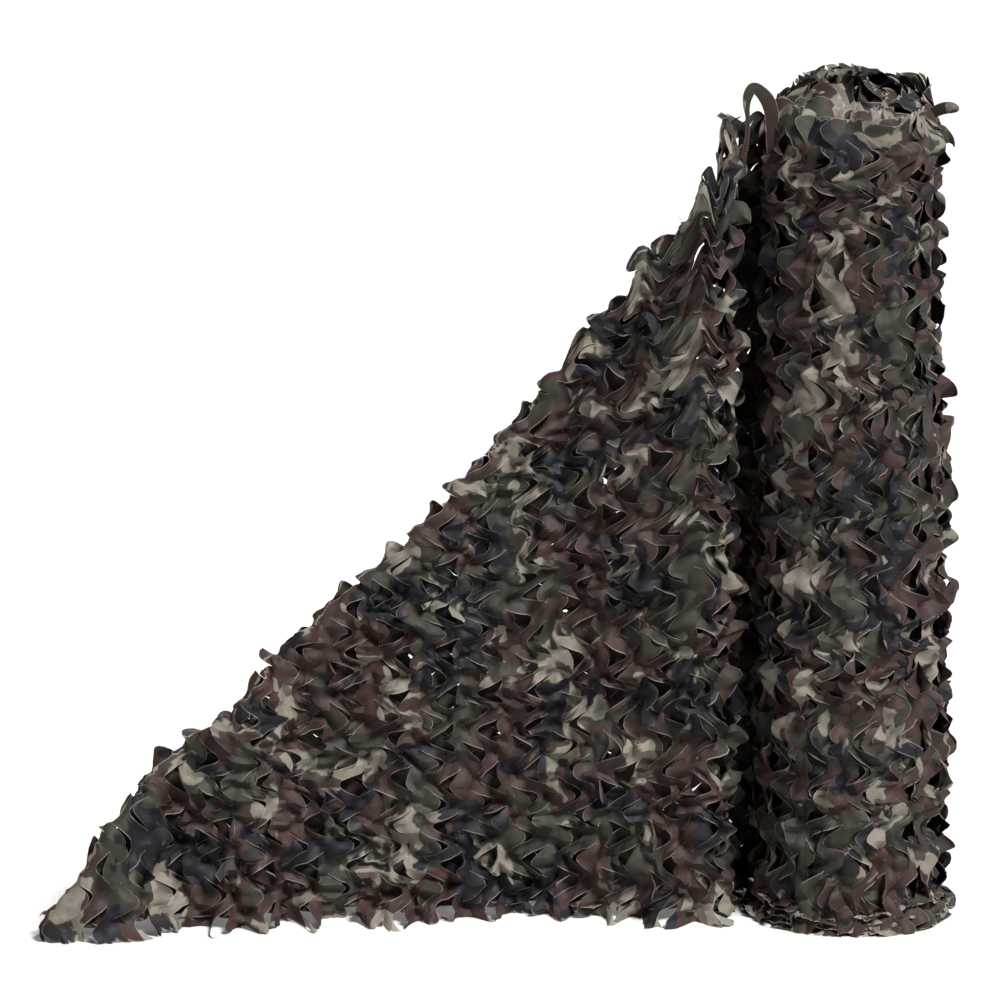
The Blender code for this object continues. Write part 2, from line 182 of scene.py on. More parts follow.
def layStrip(uLow, uHigh, vLow, vHigh, uShift=0.0, vShift=0.0):
    # Copies of the half repeat over this part of the strip, welded where their flat points agree; the cut
    # edges of the cloth are made by clamping. Gives u, v, a leaf flag, the slit's column and row, s, r and
    # the faces.
    pitch = strip["columnPitch"]
    rowPitch = strip["rowPitch"]
    uLow, uHigh, vLow, vHigh = uLow - uShift, uHigh - uShift, vLow - vShift, vHigh - vShift
    points, faces = halfRepeat()
    columns = np.arange(math.floor(uLow / pitch) - 1, math.ceil(uHigh / pitch) + 2)
    halfRows = np.arange(math.floor(2 * vLow / rowPitch) - 2, math.ceil(2 * vHigh / rowPitch) + 2)
    column, halfRow = (x.ravel() for x in np.meshgrid(columns, halfRows, indexing="ij"))
    facing = np.where(halfRow % 2 == 0, 1.0, -1.0)
    u = ((column + 0.5) * pitch)[:, None] + facing[:, None] * points[None, :, 0]
    v = ((halfRow + 0.5) * rowPitch / 2)[:, None] + points[None, :, 1]
    leaf = np.broadcast_to(points[None, :, 2], u.shape)
    fields = np.stack([u, v, leaf, column[:, None] + 0 * u, halfRow[:, None] + 0 * u,
                       points[None, :, 3] + 0 * u, points[None, :, 4] + 0 * u], axis=-1).reshape(-1, 7)
    mirrored = np.where((facing > 0)[:, None, None], faces[None], faces[None, :, ::-1])
    quads = (mirrored + (np.arange(len(column)) * len(points))[:, None, None]).reshape(-1, 4)

    middleU, middleV = fields[quads, :2].mean(axis=1).T
    inside = (middleU > uLow) & (middleU < uHigh) & (middleV > vLow) & (middleV < vHigh)
    quads = quads[inside]
    key = np.round(fields[:, :3] * np.array([1e5, 1e5, 1.0])).astype(np.int64)
    _, firsts, names = np.unique(key, axis=0, return_index=True, return_inverse=True)
    quads = names.ravel()[quads]
    used, quads = np.unique(quads, return_inverse=True)
    quads = quads.reshape(-1, 4)
    fields = fields[firsts[used]]
    fields[:, 0] = np.clip(fields[:, 0], uLow, uHigh)
    fields[:, 1] = np.clip(fields[:, 1], vLow, vHigh)
    return {
        "u": fields[:, 0],
        "v": fields[:, 1],
        "leaf": fields[:, 2] > 0.5,
        "column": fields[:, 3].astype(int),
        "halfRow": fields[:, 4].astype(int),
        "s": fields[:, 5],
        "r": fields[:, 6],
        "faces": quads,
    }


# ---- how the cloth stands off its own surface

relief = {
    "wave": 0.0134,              # the lattice tilts to and fro between the slits
    "sharpness": 0.98,           # 0 for a sine wave, nearly 1 for straight flanks
    "unevenness": 0.35,          # share by which the wave varies
    "openSide": 0.0092,          # the cloth beyond a leaf's tip draws back this far
    "openDeep": 0.0072,
    "openAlong": 0.034,          # half the size of that hollow
    "openUp": 0.042,
    "openSelvedge": 0.050,
    "ripple": 0.0032,            # uneven rise and fall of the whole cloth
    "rumple": 0.0058,            # creases a few centimetres apart
    "drift": 0.0050,             # uneven shift along and up the cloth
    "leafStiffness": 0.8,        # 1 where the whole leaf takes the slope at its middle
    "slopeStep": 0.004,
    "leafSteps": 10,
    "hinge": 0.009,              # a leaf turns up over this depth
    "turnRange": (-25.0, 78.0),
    "liftMean": 8.0,             # degrees that a leaf turns up from the lattice's own slope
    "liftSpread": 24.0,
    "twistSpread": 30.0,
    "curlMean": 8.0,
    "curlSpread": 42.0,
    "keelSpread": 28.0,          # a leaf also folds along its middle
    "edgeCurlMean": 34.0,        # and its free edge turns up
    "edgeCurlSpread": 30.0,
    "edgeCurlPower": 5,
    "leastEdge": 0.002,
    "swaySpread": 0.30,
    "selvedgeCurl": 0.014,
    "selvedgeFade": 0.020,
    "rimCalm": 0.72,             # leaves along the roll's upper rim lie this much flatter
    "rimCalmHeight": (0.090, 0.060),         # from this far below the selvedge, over this height
}

rng = np.random.default_rng(strip["seed"])
firstColumn = -130
firstHalfRow = -6
leafRandom = rng.standard_normal((170, 50, 5))     # five numbers for each slit, by column and half row


def makeWaves(count, shortest, longest):
    # Directions, lengths and phases of sine waves for one uneven field.
    length = np.exp(rng.uniform(math.log(shortest), math.log(longest), count))
    direction = rng.uniform(0, 2 * math.pi, count)
    k = 2 * math.pi / length
    phase = rng.uniform(0, 2 * math.pi, count)
    return np.stack([k * np.cos(direction), k * np.sin(direction), phase], axis=1)


def uneven(u, v, waves):
    # The mean of the sine waves, scaled to spread about one.
    total = sum(np.sin(kx * u + ky * v + phase) for kx, ky, phase in waves)
    return total * math.sqrt(2.0 / len(waves))


rippleWaves = makeWaves(14, 0.060, 0.20)
ridgeWaves = makeWaves(12, 0.045, 0.100)
valleyWaves = makeWaves(12, 0.045, 0.100)
driftWavesU = makeWaves(10, 0.10, 0.40)
driftWavesV = makeWaves(10, 0.10, 0.40)
strengthWaves = makeWaves(8, 0.12, 0.50)
curlWaves = makeWaves(14, 0.050, 0.140)


def wrap(x, period):
    # x less a whole number of periods, nearest to 0.
    return (x + period / 2) % period - period / 2


def latticeShift(u, v, strength):
    # Height z = wave f(2 pi u / pitch) f(2 pi v / rowPitch) + ripple, where f is asin(k sin) / asin k, less a
    # hollow beyond each leaf's tip, where the cloth also moves away along u; the drift shifts both u and v.
    pitch = strip["columnPitch"]
    rowPitch = strip["rowPitch"]
    uneasy = 1.0 + relief["unevenness"] * uneven(u, v, strengthWaves)
    sharp = relief["sharpness"]
    z = relief["wave"] * uneasy
    for angle in (2 * math.pi * u / pitch, 2 * math.pi * v / rowPitch):
        z = z * np.arcsin(sharp * np.sin(angle)) / math.asin(sharp)
    z = z + relief["ripple"] * uneven(u, v, rippleWaves)
    z = z + relief["rumple"] * (abs(uneven(u, v, valleyWaves)) - abs(uneven(u, v, ridgeWaves)))
    du = relief["drift"] * uneven(u, v, driftWavesU)
    dv = relief["drift"] * uneven(u, v, driftWavesV)
    toSelvedge = np.minimum(v, strip["width"] - v)
    for facing, share in ((1.0, 0.25), (-1.0, 0.75)):
        along = wrap(u - pitch / 2, pitch) / relief["openAlong"]
        up = wrap(v - share * rowPitch, rowPitch) / relief["openUp"]
        near = smoothStep(1.0 - np.sqrt(along**2 + up**2)) * smoothStep(toSelvedge / relief["openSelvedge"])
        du = du + facing * relief["openSide"] * near * strength**2
        z = z - relief["openDeep"] * uneasy * near
    curl = np.exp(-toSelvedge / relief["selvedgeFade"]) * uneven(u, v, curlWaves)
    z = z + relief["selvedgeCurl"] * curl
    return du, dv, z * strength


def raiseLeaves(part, strength):
    # A leaf leaves its chord at the lattice's own slope, turns up by lift + twist s + keel (1 - 2 |s|), curls
    # with r^2 and, near its free edge, with (r / edge)^5. Its section is the running sum of
    # (cos phi, sin phi) dr. Other points take the lattice's shift.
    u, v, leaf, r, s = part["u"], part["v"], part["leaf"], part["r"], part["s"]
    facing = np.where(part["halfRow"] % 2 == 0, 1.0, -1.0)
    chord = np.where(leaf, u - facing * r, u)
    du, dv, z = latticeShift(chord, v, strength)
    middle = (part["halfRow"] + 0.5) * strip["rowPitch"] / 2
    slope = 0.0
    ahead = relief["slopeStep"]
    for share, row in ((relief["leafStiffness"], middle), (1.0 - relief["leafStiffness"], v)):
        _, _, near = latticeShift(chord, row, strength)
        _, _, further = latticeShift(chord + ahead * facing, row, strength)
        slope = slope + share * np.arctan2(further - near, ahead)
    chance = leafRandom[part["column"] - firstColumn, part["halfRow"] - firstHalfRow]
    lift = np.radians(relief["liftMean"] + relief["liftSpread"] * chance[:, 0]) * strength
    twist = np.radians(relief["twistSpread"]) * chance[:, 1] * strength
    curl = np.radians(relief["curlMean"] + relief["curlSpread"] * chance[:, 2]) * strength
    keel = np.radians(relief["keelSpread"]) * chance[:, 4] * strength
    own = (chance[:, 3] - chance[:, 4]) / 1.4          # two numbers' difference, spread about one again
    edgeCurl = np.radians(relief["edgeCurlMean"] + relief["edgeCurlSpread"] * own) * strength
    blunt = strip["cornerRound"]
    edge = 1.0 - (np.sqrt(s * s + blunt**2) - blunt) / (math.sqrt(1.0 + blunt**2) - blunt)
    edge = np.maximum(edge * strip["slitDepth"], relief["leastEdge"])
    lowest, highest = (math.radians(x) for x in relief["turnRange"])
    turn = np.clip(lift + twist * s + keel * (1.0 - 2.0 * abs(s)), lowest, highest)
    along = np.zeros_like(u)
    rise = np.zeros_like(u)
    steps = relief["leafSteps"]
    for k in range(steps):
        share = (k + 0.5) / steps
        phi = slope + turn * smoothStep(r * share / relief["hinge"])
        phi = phi + curl * (r * share / strip["slitDepth"])**2
        phi = phi + edgeCurl * np.minimum(r * share / edge, 1.0)**relief["edgeCurlPower"]
        along += np.cos(phi) * r / steps
        rise += np.sin(phi) * r / steps
    sway = relief["swaySpread"] * chance[:, 3] * rise * np.sign(facing)
    u2 = np.where(leaf, chord + du + facing * along, u + du)
    v2 = np.where(leaf, v + dv + sway, v + dv)
    z2 = np.where(leaf, z + rise, z)
    return u2, np.clip(v2, 0.0, None), z2


# ---- the surfaces that the cloth lies on


def placeOnRoll(u, v, z, leanTurn, leanFrom, gap=roll["turnGap"], inset=0.0, nearLean=0.0, dome=0.0):
    # A spiral whose radius is sqrt(R^2 + gap u / pi), out of round by sin(2a + 0.8 + v) + 0.6 sin(3a - 2.6v),
    # with a foot that spreads by 0.6 + 0.4 sin(5a + 1.3) + 0.35 sin(11a); z points out and levels off as
    # tanh. Above leanFrom the cloth turns inward by leanTurn: its section is the running sum of
    # (sin, cos) dv.
    cx, cy = roll["centre"]
    halfFacet = math.pi / roll["segments"]
    outer = roll["radius"] + roll["clothOut"] - inset
    radius = np.sqrt(np.maximum(outer**2 + gap * u / math.pi, roll["leastRadius"]**2))
    angle = roll["seatAngle"] - halfFacet - (outer - radius) * 2 * math.pi / gap
    fromSeat = wrap(angle - roll["seatAngle"], 2 * math.pi)
    free = smoothStep(np.abs(fromSeat) / np.where(fromSeat > 0, *roll["roundNearSeat"]))
    size = radius / outer
    bent = np.sin(2 * angle + 0.8 + v) + 0.6 * np.sin(3 * angle - 2.6 * v)
    reach = roll["leafReach"] + roll["sideReach"] * np.maximum(np.cos(angle), 0.0)**4
    out = reach * np.tanh(z / reach)
    foot = smoothStep(1.0 - v / roll["footHeight"])**2
    spread = roll["footSpread"] * foot * (0.6 + 0.4 * np.sin(5 * angle + 1.3) + 0.35 * np.sin(11 * angle))
    spread = spread * (1.0 - (1.0 - roll["footBackShare"]) * smoothStep(np.sin(angle)))
    distance = radius + free * roll["outOfRound"] * size * bent + free * spread
    narrow = smoothStep((v - roll["narrowFrom"]) / roll["narrowHeight"])
    narrow = narrow - 0.5 * smoothStep((v - roll["widenFrom"]) / roll["widenHeight"])
    distance = distance - size * roll["topNarrow"] * narrow * np.maximum(np.cos(angle), 0.0)**2
    nearShare = 0.5 - 0.5 * np.sin(angle)
    leanTurn = leanTurn + nearLean * nearShare
    leanFrom = leanFrom - roll["nearLeanHeight"] * nearShare
    past = np.maximum(v - leanFrom, 0.0)
    steps = roll["leanSteps"]
    inward = np.zeros_like(v)
    height = np.minimum(v, leanFrom)
    for k in range(steps):
        lean = leanTurn * smoothStep(past * (k + 0.5) / steps / roll["leanBend"])
        inward += np.sin(lean) * past / steps
        height += np.cos(lean) * past / steps
    lean = leanTurn * smoothStep(past / roll["leanBend"])
    distance = np.maximum(distance - inward + out * np.cos(lean), roll["leastDistance"])
    lower = smoothStep((v - strip["width"] + roll["topDropHeight"]) / roll["topDropHeight"])
    drop = roll["topDrop"] * lower * (0.5 - 0.5 * np.sin(angle) * distance / roll["radius"])
    height = height + out * np.sin(lean) - drop + dome * (1.0 - (distance / roll["radius"])**2)
    return np.stack([cx + distance * np.cos(angle), cy + distance * np.sin(angle), height], axis=-1)


def curveThrough(knots, steps):
    # Catmull-Rom: half of 2p1 + (p2 - p0)t + (2p0 - 5p1 + 4p2 - p3)t^2 + (3p1 - p0 - 3p2 + p3)t^3 on each
    # run.
    knots = np.asarray(knots, dtype=float)
    ends = np.vstack([2 * knots[0] - knots[1], knots, 2 * knots[-1] - knots[-2]])
    t = np.linspace(0.0, 1.0, steps, endpoint=False)[None, :, None]
    p0, p1, p2, p3 = (ends[k:len(ends) - 3 + k, None] for k in range(4))
    square = 2 * p0 - 5 * p1 + 4 * p2 - p3
    cube = 3 * p1 - p0 - 3 * p2 + p3
    runs = 0.5 * (2 * p1 + (p2 - p0) * t + square * t**2 + cube * t**3)
    return np.vstack([runs.reshape(-1, knots.shape[1]), knots[-1:]])


def floorLine():
    # Points, lengths and directions of the loose end's line on the floor, straight off the roll's seat.
    halfFacet = math.pi / roll["segments"]
    outward = np.array([math.cos(roll["seatAngle"]), math.sin(roll["seatAngle"])])
    along = np.array([-outward[1], outward[0]])
    facet = roll["radius"] * math.sin(halfFacet)
    start = (roll["radius"] * math.cos(halfFacet) + roll["clothOut"]) * outward - facet * along
    straight = start + np.linspace(0.0, 3.0 * facet, 4)[:, None] * along
    curve = curveThrough(np.vstack([straight[-1:], np.array(looseEnd["floorLine"])]), looseEnd["lineSteps"])
    points = np.vstack([straight[:-1], curve])
    lengths = np.r_[0.0, np.cumsum(np.linalg.norm(np.diff(points, axis=0), axis=1))]
    directions = np.gradient(points, lengths, axis=0)
    crease = lengths[3::looseEnd["lineSteps"]][looseEnd["creaseRow"]]
    return points, lengths, directions / np.linalg.norm(directions, axis=1)[:, None], crease


linePoints, lineLengths, lineDirections, crease = floorLine()
tipLength = lineLengths[-1]
foldTop = np.array([crease, strip["width"]])
foldTip = np.array([tipLength, 0.0])
upFold = (foldTop - foldTip) / np.linalg.norm(foldTop - foldTip)
overFold = np.array([upFold[1], -upFold[0]])
foldTurn = math.pi * looseEnd["foldRadius"]


def pastFold(u, v):
    # How far this flat point lies past the slanting fold.
    return (u - foldTip[0]) * overFold[0] + (v - foldTip[1]) * overFold[1]


def placeOnLooseEnd(u, v, z):
    # Past the slanting fold the cloth turns round a half circle and comes back down behind; heights are
    # scaled in each column so that the fold sags, and (u, height) goes to the floor line, z to the front. The
    # lowest leaves spread forward by (height share)^2 (0.45 + 0.6 x an uneven field), no less than 0.
    radius = looseEnd["foldRadius"]
    past = pastFold(u, v)
    angle = np.clip(past, 0.0, foldTurn) / radius
    rise = np.where(past < foldTurn, radius * np.sin(angle), foldTurn - past)
    rise = np.where(past < 0.0, past, rise)
    behind = radius * (1.0 - np.cos(angle))
    length = u + (rise - past) * overFold[0]
    height = v + (rise - past) * overFold[1]
    foldHeight = (tipLength - length) / (tipLength - crease) * strip["width"]
    table = np.array(looseEnd["foldSag"])
    drop = np.interp(1.0 - foldHeight / strip["width"], table[:, 0], table[:, 1])
    height = height * (1.0 - drop / np.maximum(foldHeight, looseEnd["sagLeastHeight"]))
    sag = looseEnd["topSag"] * smoothStep(length / looseEnd["topSagLength"])
    sag = sag * (1.0 + looseEnd["topWave"] * uneven(length, 0 * length, curlWaves))
    height = height - sag * np.clip(height / strip["width"], 0.0, 1.0)**4
    x = np.interp(length, lineLengths, linePoints[:, 0])
    y = np.interp(length, lineLengths, linePoints[:, 1])
    dx = np.interp(length, lineLengths, lineDirections[:, 0])
    dy = np.interp(length, lineLengths, lineDirections[:, 1])
    size = np.hypot(dx, dy)
    dx, dy = dx / size, dy / size
    beyond = np.maximum(length - tipLength, 0.0)
    x = x + beyond * dx
    y = y + beyond * dy
    frontX = -np.cos(angle) * dy + np.sin(angle) * overFold[0] * dx
    frontY = np.cos(angle) * dx + np.sin(angle) * overFold[0] * dy
    frontZ = np.sin(angle) * overFold[1]
    size = np.sqrt(frontX**2 + frontY**2 + frontZ**2)
    cx, cy = roll["centre"]
    reach = np.interp(tipLength - u, (0.0, looseEnd["reachLength"]), looseEnd["leafReach"])
    z = reach * np.tanh(z / reach)
    low = smoothStep(1.0 - height / looseEnd["hemHeight"])**2
    low = low * smoothStep((tipLength - length) / looseEnd["hemFromTip"])
    start, over = looseEnd["hemRollLength"]
    least = looseEnd["hemRollShare"]
    nearRoll = smoothStep(length / looseEnd["hemFromRoll"])
    low = low * nearRoll * (least + (1.0 - least) * smoothStep((length - start) / over)) * (past < 0.0)
    hereAndThere = np.clip(0.45 + 0.6 * uneven(length, 0 * length, curlWaves), 0.0, 1.0)
    z = z + looseEnd["hemSpread"] * low * hereAndThere
    return np.stack([cx + x + behind * dy + z * frontX / size, cy + y - behind * dx + z * frontY / size,
                     np.maximum(height + z * frontZ / size, 0.0)], axis=-1)


# ---- printed polyester


def linear(hexColour):
    # sRGB hex to linear light.
    values = [int(hexColour[k:k + 2], 16) / 255 for k in (1, 3, 5)]
    return [x / 12.92 if x <= 0.04045 else ((x + 0.055) / 1.055)**2.4 for x in values] + [1.0]


def addNode(tree, kind, settings=None, links=None, **values):
    # One node: its settings, its input values by name and the links into it by input name or number.
    node = tree.nodes.new(kind)
    for name, value in (settings or {}).items():
        setattr(node, name, value)
    for name, value in values.items():
        node.inputs[name.replace("_", " ")].default_value = value
    for name, source in (links or {}).items():
        tree.links.new(source, node.inputs[name])
    return node


printed = {
    "brown": "#342522",          # ground colour
    "green": "#2C2C25",
    "tan": "#6D675D",
    "dark": "#15151A",
    "paleFibreAndHighlight": "#A9A296",          # cut edges: the pale cut fibre, and partly a painted highlight along the edges
    "paleFibreAndHighlightShare": 0.42,
    "paleFibreAndHighlightBand": (0.78, 0.94),   # of the way from the next points in to the cut edge
    "patchSize": 0.150,          # metres, by which each layer's noise is scaled
    "layers": (                  # printed one over another: colour, scale, offset, and the noise it begins at
        ("green", 1.00, (3.1, 7.7), 0.525),
        ("tan", 1.45, (11.3, 2.9), 0.600),
        ("dark", 1.15, (5.9, 17.1), 0.585),
    ),
    "softEdge": 0.010,
    "bend": 0.036,               # metres by which the patches are drawn out of line
    "bendScale": 3.6,
    "toneScale": 70.0,           # to a metre
    "toneRange": (0.84, 1.16),
    "creaseScale": 45.0,
    "creaseDepth": 0.0010,
    "weave": 0.0011,             # the real 0.4 mm threads would not show, so they are drawn coarser
    "weaveDepth": 0.00015,
    "roughness": (0.58, 0.72),
}


def printedPolyester():
    # Oxford-weave polyester, printed and cut hot: matt, finely woven and softly creased, in four flat
    # colours with soft-edged patches. Noise above a level lays each colour over the one before, and the cut
    # edge shows as a thin pale line: pale cut fibre, and partly a painted highlight along the edge.
    material = bpy.data.materials.new("printedPolyester")
    material.use_nodes = True
    tree = material.node_tree
    tree.nodes.clear()
    cloth = addNode(tree, "ShaderNodeUVMap", {"uv_map": "cloth"}).outputs["UV"]
    size = printed["patchSize"]
    bend = addNode(tree, "ShaderNodeTexNoise", {"noise_dimensions": "2D"}, {"Vector": cloth},
                   Scale=printed["bendScale"] / size, Detail=2.0, Roughness=0.5)
    shift = addNode(tree, "ShaderNodeVectorMath", {"operation": "MULTIPLY_ADD"},
                    {0: bend.outputs["Color"], 2: cloth})
    shift.inputs[1].default_value = (printed["bend"], printed["bend"], 0.0)

    last = None
    for name, scale, offset, level in printed["layers"]:
        moved = addNode(tree, "ShaderNodeVectorMath", {"operation": "ADD"}, {0: shift.outputs[0]})
        moved.inputs[1].default_value = (*offset, 0.0)
        noise = addNode(tree, "ShaderNodeTexNoise", {"noise_dimensions": "2D"}, {"Vector": moved.outputs[0]},
                        Scale=scale / size, Detail=2.4, Roughness=0.56)
        edge = addNode(tree, "ShaderNodeMapRange", {"clamp": True}, {"Value": noise.outputs["Fac"]},
                       From_Min=level - printed["softEdge"], From_Max=level + printed["softEdge"])
        mix = addNode(tree, "ShaderNodeMix", {"data_type": "RGBA"}, {0: edge.outputs[0]})
        if last is None:
            mix.inputs[6].default_value = linear(printed["brown"])
        else:
            tree.links.new(last, mix.inputs[6])
        mix.inputs[7].default_value = linear(printed[name])
        last = mix.outputs[2]

    tone = addNode(tree, "ShaderNodeTexNoise", {"noise_dimensions": "2D"}, {"Vector": cloth},
                   Scale=printed["toneScale"], Detail=3.0, Roughness=0.6)
    low, high = printed["toneRange"]
    toneRange = addNode(tree, "ShaderNodeMapRange", {"clamp": True}, {"Value": tone.outputs["Fac"]},
                        From_Min=0.3, From_Max=0.7, To_Min=low, To_Max=high)
    toned = addNode(tree, "ShaderNodeVectorMath", {"operation": "SCALE"},
                    {0: last, "Scale": toneRange.outputs[0]})

    # The pale rim along the cut edges: cut fibre, and partly a painted highlight.
    fibreAndHighlightRim = addNode(tree, "ShaderNodeAttribute", {"attribute_name": "fibreAndHighlightRim"}).outputs["Fac"]
    low, high = printed["paleFibreAndHighlightBand"]
    fibreAndHighlightRimShare = addNode(tree, "ShaderNodeMapRange", {"clamp": True}, {"Value": fibreAndHighlightRim},
                       From_Min=low, From_Max=high, To_Min=0.0, To_Max=printed["paleFibreAndHighlightShare"])
    withFibreAndHighlightRim = addNode(tree, "ShaderNodeMix", {"data_type": "RGBA"},
                      {0: fibreAndHighlightRimShare.outputs[0], 6: toned.outputs[0]})
    withFibreAndHighlightRim.inputs[7].default_value = linear(printed["paleFibreAndHighlight"])

    threads = [
        addNode(tree, "ShaderNodeTexWave", {"wave_type": "BANDS", "bands_direction": direction},
                {"Vector": cloth}, Scale=math.pi / (10 * printed["weave"]), Distortion=0.4).outputs["Fac"]
        for direction in "XY"
    ]
    weave = addNode(tree, "ShaderNodeMath", {"operation": "MAXIMUM"}, {0: threads[0], 1: threads[1]})
    creases = addNode(tree, "ShaderNodeTexNoise", {"noise_dimensions": "2D"}, {"Vector": cloth},
                      Scale=printed["creaseScale"], Detail=3.0, Roughness=0.55)
    fine = addNode(tree, "ShaderNodeBump", None, {"Height": weave.outputs[0]},
                   Strength=0.25, Distance=printed["weaveDepth"])
    soft = addNode(tree, "ShaderNodeBump", None,
                   {"Height": creases.outputs["Fac"], "Normal": fine.outputs[0]},
                   Strength=0.4, Distance=printed["creaseDepth"])
    low, high = printed["roughness"]
    rough = addNode(tree, "ShaderNodeMapRange", {"clamp": True}, {"Value": tone.outputs["Fac"]},
                    From_Min=0.3, From_Max=0.7, To_Min=low, To_Max=high)
    links = {"Base Color": withFibreAndHighlightRim.outputs[2], "Normal": soft.outputs[0], "Roughness": rough.outputs[0]}
    shader = addNode(tree, "ShaderNodeBsdfPrincipled", None, links,
                     IOR=1.45, Specular_IOR_Level=0.28, Metallic=0.0)
    addNode(tree, "ShaderNodeOutputMaterial", None, {"Surface": shader.outputs[0]})
    return material


netCloth = printedPolyester()


# ---- pieces

creaseAngle = math.radians(24.0)             # where its faces turn more, the cloth looks creased


def clothPiece(name, part, points, keep=None, turned=False):
    # A mesh of these points with the strip's faces, its flat place as the UV map and its cut edges marked for
    # the pale rim, which is partly a painted highlight.
    faces = part["faces"] if keep is None else part["faces"][keep]
    if turned:
        faces = faces[:, ::-1]
    used, faces = np.unique(faces, return_inverse=True)
    faces = faces.reshape(-1, 4)
    points = points[used]
    corners = faces != np.roll(faces, 1, axis=1)
    whole = corners.sum(axis=1) > 2
    faces, corners = faces[whole], corners[whole]
    sides = corners.sum(axis=1)
    mesh = bpy.data.meshes.new(name)
    mesh.vertices.add(len(points))
    mesh.vertices.foreach_set("co", points.ravel())
    mesh.loops.add(int(sides.sum()))
    mesh.loops.foreach_set("vertex_index", faces[corners].astype(np.int32))
    mesh.polygons.add(len(faces))
    mesh.polygons.foreach_set("loop_start", (np.cumsum(sides) - sides).astype(np.int32))
    mesh.update(calc_edges=True)
    mesh.validate()
    mesh.polygons.foreach_set("use_smooth", np.ones(len(mesh.polygons), dtype=bool))
    mesh.set_sharp_from_angle(angle=creaseAngle)
    corner = np.empty(len(mesh.loops), dtype=np.int32)
    mesh.loops.foreach_get("vertex_index", corner)
    uv = mesh.uv_layers.new(name="cloth")
    flatPlace = np.stack([part["u"][used], part["v"][used]], axis=1)[corner]
    uv.uv.foreach_set("vector", flatPlace.astype(np.float32).ravel())
    # Points on the cut edges get the pale rim, which is partly a painted highlight.
    ring = np.sort(np.stack([faces, np.roll(faces, -1, axis=1)], axis=-1).reshape(-1, 2), axis=1)
    code, count = np.unique(ring[:, 0].astype(np.int64) * len(points) + ring[:, 1], return_counts=True)
    rim = code[(count == 1) & (code // len(points) != code % len(points))]
    fibreAndHighlightRim = np.zeros(len(points), dtype=np.float32)
    fibreAndHighlightRim[rim // len(points)] = 1.0
    fibreAndHighlightRim[rim % len(points)] = 1.0
    mesh.attributes.new("fibreAndHighlightRim", "FLOAT", "POINT").data.foreach_set("value", fibreAndHighlightRim)
    mesh.materials.append(netCloth)
    piece = bpy.data.objects.new(name, mesh)
    bpy.context.scene.collection.objects.link(piece)
    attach(piece, "root")
    print(name, len(mesh.polygons), "quads")
    return piece


print("laying the roll")
turnSettings = {
    "outerStrength": 1.0,
    "secondStrength": 0.75,
    "secondForward": 0.004,
    "endStrength": 0.34,         # the inner turns' upper ends are a wider spiral
    "endDepth": 0.120,
    "endGap": 0.024,
    "endInset": 0.012,
    "endRadius": 0.014,
    "endLean": math.radians(78.0),           # the turns' upper ends lie over one another, more or less
    "endLeanSpread": math.radians(16.0),
    "endLeanHeight": 0.040,
    "rimLean": math.radians(12.0),
    "rimLeanSpread": math.radians(30.0),
}
leanWaves = makeWaves(12, 0.10, 0.45)


def leanOf(u, mean, spread):
    # Mean + spread x an uneven field along the cloth.
    return mean + spread * uneven(u, 0 * u, leanWaves)


def calm(v):
    # 1 over the wall, falling by rimCalm towards the upper selvedge.
    start, over = relief["rimCalmHeight"]
    return 1.0 - relief["rimCalm"] * smoothStep((v - strip["width"] + start) / over)


outerRadius = roll["radius"] + roll["clothOut"]
outerLength = math.pi * (outerRadius**2 - (outerRadius - roll["turnGap"])**2) / roll["turnGap"]
leanFrom = strip["width"] - turnSettings["endLeanHeight"]

part = layStrip(-outerLength, 0.0, 0.0, strip["width"])
u, v, z = raiseLeaves(part, turnSettings["outerStrength"] * calm(part["v"]))
lean = leanOf(part["u"], turnSettings["rimLean"], turnSettings["rimLeanSpread"])
points = placeOnRoll(u, v, z, lean, leanFrom, nearLean=roll["nearLean"])
outerTurn = clothPiece("outerTurn", part, points, turned=True)
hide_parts("roll")

part = layStrip(-2 * outerLength, -outerLength, 0.0, strip["width"])
u, v, z = raiseLeaves(part, turnSettings["secondStrength"] * calm(part["v"]))
lean = leanOf(part["u"], turnSettings["rimLean"], turnSettings["rimLeanSpread"])
z = z + turnSettings["secondForward"]
points = placeOnRoll(u, v, z, lean, leanFrom, nearLean=roll["nearLean"])
secondTurn = clothPiece("secondTurn", part, points, turned=True)

endRadius = roll["radius"] - turnSettings["endInset"]
endLength = math.pi * (endRadius**2 - turnSettings["endRadius"]**2) / turnSettings["endGap"]
part = layStrip(-endLength, 0.0, strip["width"] - turnSettings["endDepth"], strip["width"])
u, v, z = raiseLeaves(part, turnSettings["endStrength"])
lean = leanOf(part["u"], turnSettings["endLean"], turnSettings["endLeanSpread"])
points = placeOnRoll(u, v, z, lean, leanFrom,
                     turnSettings["endGap"], turnSettings["endInset"], dome=roll["dome"])
topEnd = clothPiece("topEnd", part, points, turned=True)

print("crushing the turns at the foot")
ruffle = {
    "rings": 5,
    "repeats": 15,               # leaf columns round each ring
    "firstColumn": 4,
    "columnStep": 3,
    "strength": 0.5,
    "height": 0.046,
    "step": 0.010,               # each ring stands this much higher
    "inStep": 0.004,             # and this much further in, give or take as much
    "turnStep": 0.31,            # metres by which each is turned
    "tilt": math.radians(36.0),
    "tiltSpread": math.radians(16.0),
    "pivot": 0.6,                # share of the height at which the cloth is at its ring's distance
    "reach": 0.003,
    "backIn": 0.022,             # the back lies further in
    "leafReach": 0.016,
    "farthest": (0.188, 0.030),  # from the roll's middle at the back, and more at the sides and front
    "clear": 0.0006,
}


